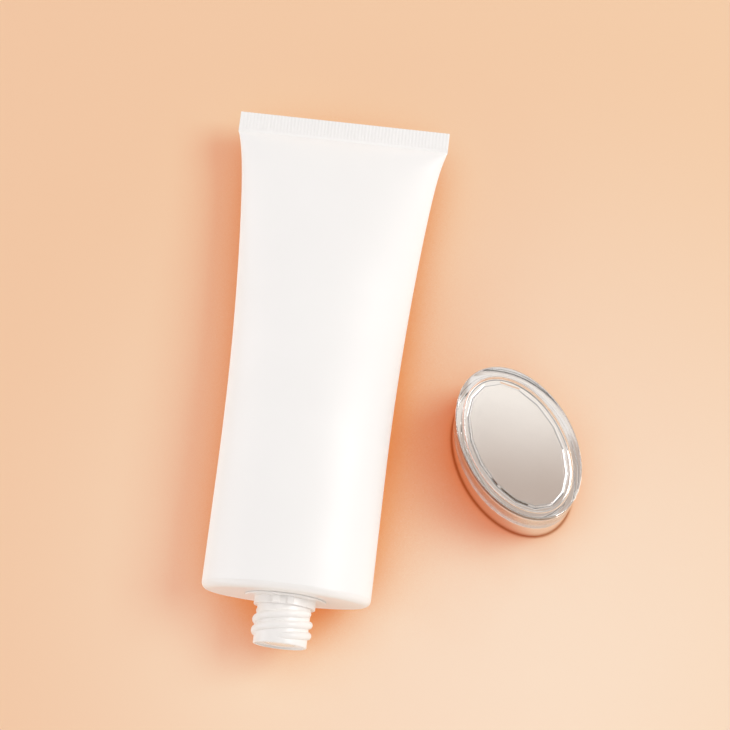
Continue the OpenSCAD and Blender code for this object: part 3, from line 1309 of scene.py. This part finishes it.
@dataclass
class Cream:
    """The cream in the tube, whose crown shows in the orifice.

    Attributes:
        oval: The tube's section.
        head: The head that it fills.
        sleeve_wall: Thickness of the sleeve's wall.
        gap: Room between the cream and the walls.
        crown: Depth of the crown's middle below the mouth.
        dip: How much deeper the crown's edge lies.
        crown_rings: Rings over the crown.
        hollow_end: Least half height of the cream in the tail.
        taper_rings: Rings along the taper.
        points: Points round a ring.
    """

    oval: Oval
    head: TubeHead
    sleeve_wall: float = 0.5
    gap: float = 0.06
    crown: float = 0.2
    dip: float = 0.4
    crown_rings: int = 8
    hollow_end: float = 0.35
    taper_rings: int = 40
    points: int = 96

    def _body(self) -> list[Ring]:
        """List the rings from the tail to the foot of the neck."""
        oval, head = self.oval, self.head
        run = oval.weld_s - oval.straight_l
        wall = self.sleeve_wall + self.gap
        stations = [oval.station(oval.straight_l + run * i / self.taper_rings).inset(wall)
                    for i in range(self.taper_rings, -1, -1)]
        foot = oval.station(0)
        throat = foot.inset(head.skirt_inset + head.skirt_t + self.gap)
        skirt_z = -head.edge_r - head.skirt_l - self.gap
        shoulder_z = -head.shoulder_t - self.gap
        return [ring for ring in stations if ring.tall > self.hollow_end] + [
            foot.inset(wall, skirt_z), throat.inset(0, skirt_z), throat.inset(0, shoulder_z)]

    def _neck(self) -> list[Ring]:
        """List the rings up the neck and over the crown in the orifice."""
        head = self.head
        foot_z = -head.shoulder_t - self.gap
        plate_z = self.oval.neck_h - head.rim_depth - head.orifice_t - self.gap
        neck_r = head.bore_d / 2 - self.gap
        hole_r = head.orifice_d / 2 - self.gap / 2
        high = self.oval.neck_h - self.crown
        turns = [math.pi / 2 * i / self.crown_rings for i in range(self.crown_rings)]
        return [round_ring(neck_r, foot_z), round_ring(neck_r, plate_z), round_ring(hole_r, plate_z)] + [
            round_ring(hole_r * math.cos(turn), high - self.dip * (1 - math.sin(turn))) for turn in turns]

    def build(self) -> bpy.types.Object:
        """Model the cream in its place.

        Returns:
            The cream.
        """
        piece = RingStack("cream_fill", self._body() + self._neck(), self.points).grow()
        place(piece, self.oval.matrix(Frame.TUBE))
        smooth(piece, 42)
        return piece

    def dress(self, piece: bpy.types.Object) -> None:
        """Give the cream its finish."""
        fit_out(piece, "cream", MoistCream())


@dataclass
class Cap:
    """Sizes that the three pieces of the cap share.

    Attributes:
        oval: The tube's section, for its placements.
        long_side: Length of the cap.
        short_side: Width of the cap.
        shell_wall: Wall of the clear shell.
        shell_top: Thickness of the clear top.
        fit_gap: Room between pieces that slide together.
        points: Points round a ring.
    """

    oval: Oval
    long_side: float = 46.6
    short_side: float = 31.0
    shell_wall: float = 2.0
    shell_top: float = 5.0
    fit_gap: float = 0.1
    points: int = 128

    def __post_init__(self) -> None:
        """Read the cap's heights from the frame."""
        self.band_h = self.oval.places.shell.low.z
        self.top = self.oval.places.shell.high.z

    def ring(self, inset: float, z: float) -> Ring:
        """Give the cap's outline, drawn in.

        Args:
            inset: Distance from the cap's side.
            z: Height.

        Returns:
            The ring.
        """
        return Ring(z, self.long_side / 2 - inset, self.short_side / 2 - inset)


@dataclass
class CapShell:
    """Clear shell with a thick top, which covers the mirror plate.

    Attributes:
        cap: Sizes of the cap.
        edge_r: Rounding of the top's outer edge.
        inner_r: Rounding of the hollow's upper edge.
        foot_r: Rounding of the lower rim.
    """

    cap: Cap
    edge_r: float = 0.4
    inner_r: float = 0.5
    foot_r: float = 0.12

    def build(self) -> bpy.types.Object:
        """Model the shell in its place.

        Returns:
            The shell.
        """
        cap = self.cap
        low, ceiling = cap.band_h, cap.top - cap.shell_top
        hollow = rounded(cap.ring(cap.shell_wall, ceiling), self.inner_r, outwards=False, steps=6)
        foot = [
            cap.ring(cap.shell_wall, low + self.foot_r), cap.ring(cap.shell_wall - self.foot_r, low),
            cap.ring(self.foot_r, low), cap.ring(0, low + self.foot_r)]
        edge = rounded(cap.ring(0, cap.top), self.edge_r, outwards=True, steps=6)
        piece = RingStack("clear_cap_shell", hollow + foot + edge, cap.points).grow()
        place(piece, cap.oval.matrix(Frame.CAP))
        smooth(piece, CRISP_ANGLE, weighted=True)
        return piece

    def dress(self, piece: bpy.types.Object) -> None:
        """Give the shell its finish."""
        fit_out(piece, "cap_shell", ClearAcrylic())


@dataclass
class PlatedCup:
    """Mirror cup: a band below, and a dome with the faceted mirror plate above.

    Attributes:
        cap: Sizes of the cap.
        wall: Wall of the cup.
        foot_r: Rounding of the rim that it stands on.
        step_r: Rounding of the band's upper edge.
        dome_r: Rounding of the dome's upper edge.
        plate_sides: Number of facets round the plate.
        plate_h: Height of the plate above the dome.
        plate_bevel: Width of the facets.
        plate_inset: Distance from the cap's side to the plate's foot.
        plate_rise: Height of the upright edge below the facets.
        facet_angle: Angle, in degrees, from which an edge between faces stays sharp.
    """

    cap: Cap
    wall: float = 1.2
    foot_r: float = 0.35
    step_r: float = 0.15
    dome_r: float = 0.9
    plate_sides: int = 16
    plate_h: float = 1.3
    plate_bevel: float = 1.0
    plate_inset: float = 3.35
    plate_rise: float = 0.55
    facet_angle: float = 7.0

    def _shell(self, cup_top: float) -> bpy.types.Object:
        """Grow the cup without its plate, inside and out.

        Args:
            cup_top: Height of the dome.

        Returns:
            The cup, in the cap's frame.
        """
        cap = self.cap
        inset = cap.shell_wall + cap.fit_gap
        inner = inset + self.wall
        step = cap.band_h - self.wall
        inside = [cap.ring(inner, cup_top - self.dome_r), cap.ring(inner, step), cap.ring(self.wall, step)]
        foot = [cap.ring(self.wall, self.foot_r / 2), cap.ring(self.wall - self.foot_r / 2, 0),
                cap.ring(self.foot_r, 0), *[
                    cap.ring(self.foot_r * (1 - math.sin(a)), self.foot_r * (1 - math.cos(a)))
                    for a in (math.pi / 6, math.pi / 3, math.pi / 2)]]
        band = rounded(cap.ring(0, cap.band_h), self.step_r, outwards=True, steps=3)
        dome = [cap.ring(inset, cap.band_h), *rounded(cap.ring(inset, cup_top), self.dome_r, True, 15)]
        return RingStack("mirror_cap_cup", inside + foot + band + dome, cap.points).grow()

    def _plate(self, cup_top: float) -> bpy.types.Object:
        """Model the faceted mirror plate.

        Args:
            cup_top: Height of the dome that it stands on.

        Returns:
            The plate, in the cap's frame.
        """
        cap = self.cap
        foot = cap.ring(self.plate_inset, cup_top - self.wall / 2)
        shoulder = foot.inset(0, cup_top + self.plate_rise)
        edge = foot.inset(self.plate_bevel, cup_top + self.plate_h)
        return RingStack("mirror_plate", [foot, shoulder, edge], self.plate_sides).grow()

    def build(self) -> bpy.types.Object:
        """Model the cup in its place.

        Returns:
            The cup.
        """
        cap = self.cap
        plate_z = cap.top - cap.shell_top - cap.fit_gap
        cup_top = plate_z - self.plate_h
        piece = self._shell(cup_top)
        unite(piece, [self._plate(cup_top)])
        place(piece, cap.oval.matrix(Frame.CAP))
        smooth(piece, self.facet_angle, weighted=True)
        return piece

    def dress(self, piece: bpy.types.Object) -> None:
        """Give the cup its finish."""
        fit_out(piece, "cap_plated_cup", MirrorSilver())


@dataclass
class CapLiner:
    """White liner with the threaded socket, whose own solid has the right shape.

    Attributes:
        node: Name of its node.
    """

    node: str = "cap_liner"

    def dress(self) -> None:
        """Give the liner's own solid its finish."""
        solid = next(o for o in bpy.context.scene.objects if o.get("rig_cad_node") == self.node)
        solid.data.materials.clear()
        solid.data.materials.append(MouldedWhite().material())
        log.info("%s keeps its own solid", self.node)


@dataclass
class Studio:
    """Pale floor with painted light and shade, soft light and the camera, in metres and degrees.

    Attributes:
        floor_colour: Colour of the floor, linear.
        floor_painted_light_pool: Colour of the paper inside a painted pool of light, where it is palest,
            linear.
        painted_light_pool_at: Middle of that painted pool of light.
        painted_light_pool_reach: Distances from there where the painted light is full and where it ends.
        painted_warm_glow: Painted glow that the paper gives off, dimmed by the painted shade, so that its
            shadows look warm, linear.
        floor_bounce: Light that the paper sends to the pieces near it.
        painted_crease_shade: Share of the paper's colour that is left where pieces hem it in: painted
            shade.
        painted_crease_reach: How far from a piece the painted shade reaches.
        painted_crease_open: Shares of open sky at which the painted shade is deepest and at which it is
            gone.
        painted_contact_shadow: Share of the paper's colour that is left right where a piece stands on it: a
            painted shadow line.
        painted_contact_reach: Width of that painted shadow line.
        painted_contact_open: Shares of open sky between which the painted shadow line fades.
        painted_shade_samples: Rays that find how much of the sky is open, for the painted shade.
        floor_size: Side of the floor.
        key_from: Direction to the key lamp: azimuth from x towards y, and elevation.
        key_distance: Distance of the key lamp.
        key_size: Side of the key lamp.
        key_power: Power of the key lamp, in watts.
        room: Radiance of the room.
        wall: Radiance of the bright wall low on the left.
        wall_at: Direction of the middle of that wall.
        wall_reach: Cosines of the angles where the wall begins and where it is full.
        wall_top: Share of z in a direction where the wall begins to fade and where it ends.
        horizon: Radiance of the room near the horizon.
        horizon_top: Share of z in a direction where that begins to fade and where it ends.
        ceiling: Radiance of the grey disc overhead, which the lower end of the mirror plate shows.
        ceiling_reach: How far from straight up the disc begins to fade and where it ends.
        lid: Radiance of the soft white panel across the far side of that disc.
        lid_rise: Share of y in a direction where the panel begins and where it is full.
        lid_fall: The same for its far side.
        near_lid: Radiance of the white panel overhead on the camera's side.
        near_fall: Share of y in a direction where that panel begins to fade and where it ends.
        flag_at: Direction of a small black flag.
        flag_reach: Cosines of the angles where the flag begins and where it is full.
        flag_tone: Radiance of the flag.
        camera_at: Place of the camera.
        camera_to: Point that it looks at.
        focal_length: Its focal length, in millimetres, on a 36 mm sensor.
    """

    floor_colour: tuple[float, float, float] = (0.29, 0.56, 0.405)
    floor_painted_light_pool: tuple[float, float, float] = (0.36, 0.73, 0.61)
    painted_light_pool_at: tuple[float, float, float] = (0.045, -0.065, 0.0)
    painted_light_pool_reach: tuple[float, float] = (0.0, 0.19)
    painted_warm_glow: tuple[float, float, float] = (0.61, 0.05, 0.0)
    floor_bounce: tuple[float, float, float] = (0.95, 0.78, 0.64)
    painted_crease_shade: tuple[float, float, float] = (0.83, 0.37, 0.13)
    painted_crease_reach: float = 0.045
    painted_crease_open: tuple[float, float] = (0.25, 0.93)
    painted_contact_shadow: tuple[float, float, float] = (0.52, 0.36, 0.26)
    painted_contact_reach: float = 0.0011
    painted_contact_open: tuple[float, float] = (0.5, 0.95)
    painted_shade_samples: int = 8
    floor_size: float = 8.0
    key_from: tuple[float, float] = (14.0, 49.0)
    key_distance: float = 1.8
    key_size: float = 0.85
    key_power: float = 16.2
    room: tuple[float, float, float] = (0.35, 0.335, 0.325)
    wall: tuple[float, float, float] = (2.2, 2.2, 2.25)
    wall_at: tuple[float, float, float] = (-1.0, 0.0, 0.1)
    wall_reach: tuple[float, float] = (0.3, 0.8)
    wall_top: tuple[float, float] = (0.25, 0.6)
    horizon: tuple[float, float, float] = (1.0, 0.96, 0.93)
    horizon_top: tuple[float, float] = (0.25, 0.6)
    lid: tuple[float, float, float] = (1.04, 0.99, 0.94)
    lid_rise: tuple[float, float] = (0.2, 0.252)
    lid_fall: tuple[float, float] = (0.42, 0.55)
    ceiling: tuple[float, float, float] = (0.585, 0.49, 0.435)
    ceiling_reach: tuple[float, float] = (0.35, 0.5)
    near_lid: tuple[float, float, float] = (0.95, 0.92, 0.90)
    near_fall: tuple[float, float] = (0.03, 0.12)
    flag_at: tuple[float, float, float] = (0.356, 0.80, 0.483)
    flag_reach: tuple[float, float] = (0.968, 0.98)
    flag_tone: tuple[float, float, float] = (0.02, 0.015, 0.01)
    camera_at: tuple[float, float, float] = (0.008468, -0.147717, 0.59861)
    camera_to: tuple[float, float, float] = (-0.009599, 0.00880, 0.0)
    focal_length: float = 102.64

    def _floor(self) -> None:
        """Lay the floor, with a painted pool of light, painted shade where pieces hem it in and under them,
        and a painted glow that keeps its shadows warm.
        """
        leave_edit()
        bpy.ops.mesh.primitive_plane_add(size=self.floor_size, location=(0, 0, 0))
        floor = bpy.context.object
        floor.name = "floor"
        made = bpy.data.materials.new("paper_with_painted_light_and_shade")
        made.use_nodes = True
        made.node_tree.nodes.clear()
        nodes = Nodes(made.node_tree)
        place_of = nodes.add("ShaderNodeTexCoord").outputs["Object"]
        away = nodes.add("ShaderNodeVectorMath", operation="DISTANCE")
        made.node_tree.links.new(place_of, away.inputs[0])
        away.inputs[1].default_value = self.painted_light_pool_at
        # Painted pool of light: the paper turns paler towards one spot.
        fade = nodes.ramp(away.outputs["Value"], self.painted_light_pool_reach)
        tone = nodes.mix_colour(fade, (*self.floor_painted_light_pool, 1), (*self.floor_colour, 1))
        # Painted shade: the paper is darkened where pieces hem it in and in a thin line right under them,
        # from how much of the sky is open there.
        shade = nodes.mix_colour(
            1.0, self._painted_hem_shade(nodes, self.painted_crease_shade, self.painted_crease_reach, self.painted_crease_open),
            self._painted_hem_shade(nodes, self.painted_contact_shadow, self.painted_contact_reach, self.painted_contact_open), "MULTIPLY")
        deep = nodes.mix_colour(1.0, tone, shade, "MULTIPLY")
        # Painted warm glow, dimmed by the same painted shade, so that the shadows look warm.
        warm = nodes.mix_colour(1.0, (*self.painted_warm_glow, 1), shade, "MULTIPLY")
        paper = nodes.add("ShaderNodeBsdfDiffuse", {"Color": deep})
        glow = nodes.add("ShaderNodeEmission", {"Color": warm, "Strength": 1.0})
        seen = nodes.add("ShaderNodeAddShader")
        for socket, shader in zip(seen.inputs, (paper, glow)):
            made.node_tree.links.new(shader.outputs[0], socket)
        bounce = nodes.add("ShaderNodeEmission", {"Color": (*self.floor_bounce, 1), "Strength": 1.0})
        path = nodes.add("ShaderNodeLightPath")
        either = nodes.add("ShaderNodeMixShader", {"Fac": path.outputs["Is Diffuse Ray"]})
        made.node_tree.links.new(seen.outputs[0], either.inputs[1])
        made.node_tree.links.new(bounce.outputs[0], either.inputs[2])
        nodes.add("ShaderNodeOutputMaterial", {"Surface": either.outputs[0]})
        made.cycles.emission_sampling = "NONE"
        floor.data.materials.append(made)

    def _painted_hem_shade(self, nodes: Nodes, deep: tuple[float, float, float], reach: float,
                fade: tuple[float, float]) -> bpy.types.NodeSocket:
        """Paint shade on the paper where pieces hem it in, from how much of the sky is open there.

        Args:
            nodes: The paper's nodes.
            deep: Share of its colour that is left where the painted shade is deepest.
            reach: How far from a piece it deepens.
            fade: Shares of open sky at which it is deepest and at which it is bare.

        Returns:
            The share of its colour that is left.
        """
        sky = nodes.add("ShaderNodeAmbientOcclusion", {"Distance": reach}, samples=self.painted_shade_samples)
        return nodes.mix_colour(nodes.ramp(sky.outputs["AO"], fade), (*deep, 1), (1, 1, 1, 1))

    def _world(self) -> None:
        """Light the room: pale all round, panels overhead, a bright wall and a small black flag."""
        world = bpy.data.worlds.new("soft_room")
        world.use_nodes = True
        world.node_tree.nodes.clear()
        nodes = Nodes(world.node_tree)
        direction = nodes.add("ShaderNodeTexCoord").outputs["Generated"]
        part = nodes.add("ShaderNodeSeparateXYZ", {"Vector": direction})
        level = nodes.add("ShaderNodeVectorMath", operation="MULTIPLY")
        world.node_tree.links.new(direction, level.inputs[0])
        level.inputs[1].default_value = (1.0, 1.0, 0.0)
        away = nodes.add("ShaderNodeVectorMath", operation="LENGTH")
        world.node_tree.links.new(level.outputs["Vector"], away.inputs[0])

        def toward(way: tuple[float, float, float]) -> bpy.types.NodeSocket:
            """Give the cosine between a direction and the one looked at."""
            dot = nodes.add("ShaderNodeVectorMath", operation="DOT_PRODUCT")
            world.node_tree.links.new(direction, dot.inputs[0])
            dot.inputs[1].default_value = Vector(way).normalized()
            return dot.outputs["Value"]

        up = part.outputs["Z"]
        around = nodes.mix_colour(nodes.ramp(up, self.horizon_top), (*self.horizon, 1), (*self.room, 1))
        wall = nodes.mix_colour(nodes.ramp(up, self.wall_top), (*self.wall, 1), around)
        sides = nodes.mix_colour(nodes.ramp(toward(self.wall_at), self.wall_reach), around, wall)
        across = part.outputs["Y"]
        panel = nodes.add("ShaderNodeMath", {0: nodes.ramp(across, self.lid_rise)}, operation="SUBTRACT")
        world.node_tree.links.new(nodes.ramp(across, self.lid_fall), panel.inputs[1])
        far_side = nodes.mix_colour(panel.outputs[0], (*self.ceiling, 1), (*self.lid, 1))
        near_share = nodes.ramp(across, self.near_fall)
        above = nodes.mix_colour(near_share, (*self.near_lid, 1), far_side)
        beyond = nodes.ramp(away.outputs["Value"], self.ceiling_reach)
        overhead = nodes.mix_colour(beyond, above, sides)
        flag = nodes.ramp(toward(self.flag_at), self.flag_reach)
        whole = nodes.mix_colour(flag, overhead, (*self.flag_tone, 1))
        shade = nodes.add("ShaderNodeBackground", {"Color": whole, "Strength": 1.0})
        nodes.add("ShaderNodeOutputWorld", {"Surface": shade.outputs["Background"]})
        bpy.context.scene.world = world

    def _key(self) -> None:
        """Hang the soft key lamp."""
        azimuth, elevation = (math.radians(a) for a in self.key_from)
        way = Vector((math.cos(azimuth) * math.cos(elevation), math.sin(azimuth) * math.cos(elevation),
                      math.sin(elevation)))
        data = bpy.data.lights.new("key", "AREA")
        data.shape = "SQUARE"
        data.size = self.key_size
        data.energy = self.key_power
        lamp = bpy.data.objects.new("key", data)
        lamp.location = way * self.key_distance
        lamp.rotation_mode = "QUATERNION"
        lamp.rotation_quaternion = way.to_track_quat("Z", "Y")
        bpy.context.scene.collection.objects.link(lamp)

    def _camera(self) -> None:
        """Set up the camera at the photograph's viewing angle."""
        data = bpy.data.cameras.new("camera")
        data.lens = self.focal_length
        data.sensor_width = 36.0
        camera = bpy.data.objects.new("camera", data)
        camera.location = self.camera_at
        camera.rotation_mode = "QUATERNION"
        look = Vector(self.camera_to) - Vector(self.camera_at)
        camera.rotation_quaternion = look.to_track_quat("-Z", "Y")
        bpy.context.scene.collection.objects.link(camera)
        bpy.context.scene.camera = camera

    def build(self) -> None:
        """Set up the floor, the light and the camera."""
        bpy.context.scene.view_settings.view_transform = "Standard"
        self._floor()
        self._world()
        self._key()
        self._camera()
        log.info("studio is set up")


def main() -> None:
    """Build the studio and every piece."""
    logging.basicConfig(level=logging.INFO, format="%(name)s: %(message)s")
    Studio().build()
    oval = Oval(Places())
    head = TubeHead(oval)
    cap = Cap(oval)
    for maker in (TubeSleeve(oval), head, Cream(oval, head), CapShell(cap), PlatedCup(cap)):
        maker.dress(maker.build())
    CapLiner().dress()


if __name__ == "__main__":
    main()
